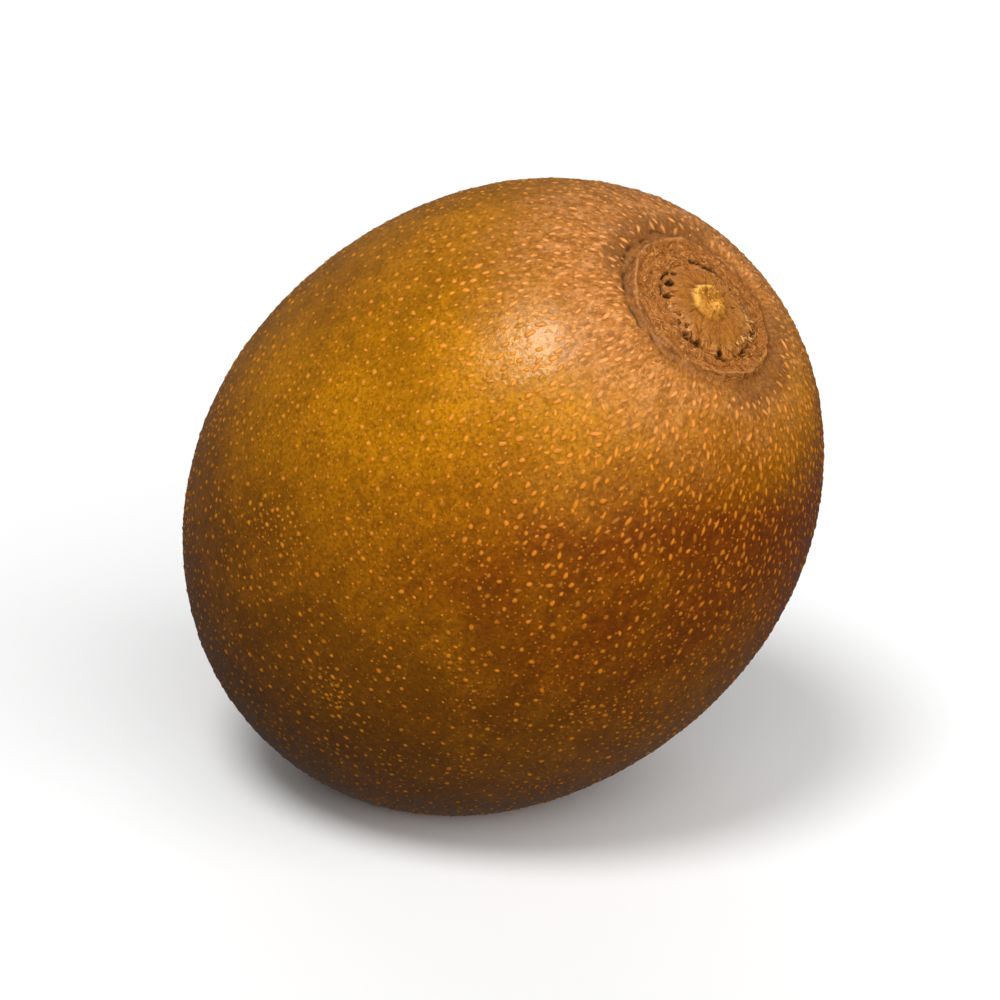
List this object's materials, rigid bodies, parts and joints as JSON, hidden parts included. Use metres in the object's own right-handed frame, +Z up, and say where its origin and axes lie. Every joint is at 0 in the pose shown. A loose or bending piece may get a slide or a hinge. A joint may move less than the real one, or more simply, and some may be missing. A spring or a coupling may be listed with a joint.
{
  "type": "golden kiwi fruit",
  "caption": "Whole golden kiwi fruit with speckled brown-gold skin, resting on a small flat spot with its dried stem end leaning up.",
  "frame": {"origin": "on the flat resting spot, straight below the fruit's middle", "axes": "+Z up from the surface it rests on; +X towards the raised stem end, with the long axis in the XZ plane; +Y across the fruit"},
  "size_m": [0.0611, 0.0538, 0.0596],
  "materials": {
    "skin": "satin",
    "lenticels": "matte",
    "dried_stem_end": "matte"
  },
  "bodies": {
    "root": {"fruit": "skin"}
  },
  "joints": []
}
